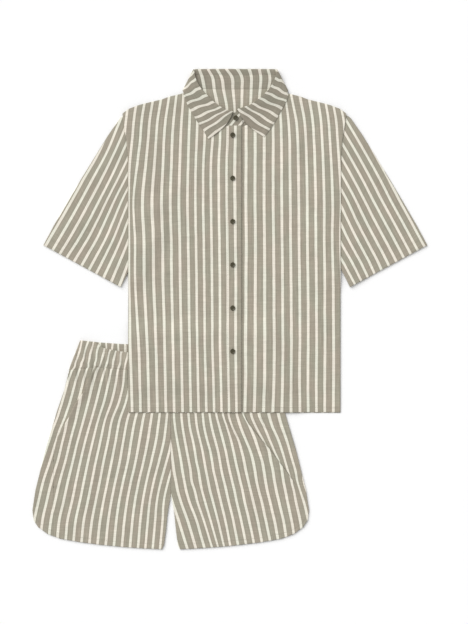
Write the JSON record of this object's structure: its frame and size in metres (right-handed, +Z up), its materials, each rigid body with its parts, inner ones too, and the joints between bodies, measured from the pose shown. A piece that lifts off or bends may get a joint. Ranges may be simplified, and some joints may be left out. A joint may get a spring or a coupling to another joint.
{
  "type": "pyjama set",
  "caption": "Striped woven pyjama set laid flat: a boxy short-sleeved button shirt with a pointed collar, lying over the waist of matching shorts with rounded hems.",
  "frame": {"origin": "bottom centre of the bounding box of the whole set, on the surface that it lies on", "axes": "+Z up from the surface, +Y from the shorts' hem to the shirt's collar, +X to the wearer's left"},
  "size_m": [0.8299, 1.008, 0.0135],
  "materials": {
    "cotton": "matt plain-weave cotton, olive grey with cream stripes",
    "button": "satin, dark brown horn look"
  },
  "bodies": {
    "root": {"shirt_back": "cotton", "shirt_front_right": "cotton", "shirt_front_left": "cotton", "sleeve_right": "cotton", "sleeve_left": "cotton", "collar_stand": "cotton", "collar_fall": "cotton", "button_1": "button", "button_2": "button", "button_3": "button", "button_4": "button", "button_5": "button", "button_6": "button", "button_7": "button", "shorts_front_right": "cotton", "shorts_front_left": "cotton", "shorts_back_right": "cotton", "shorts_back_left": "cotton", "waistband": "cotton"}
  },
  "joints": []
}
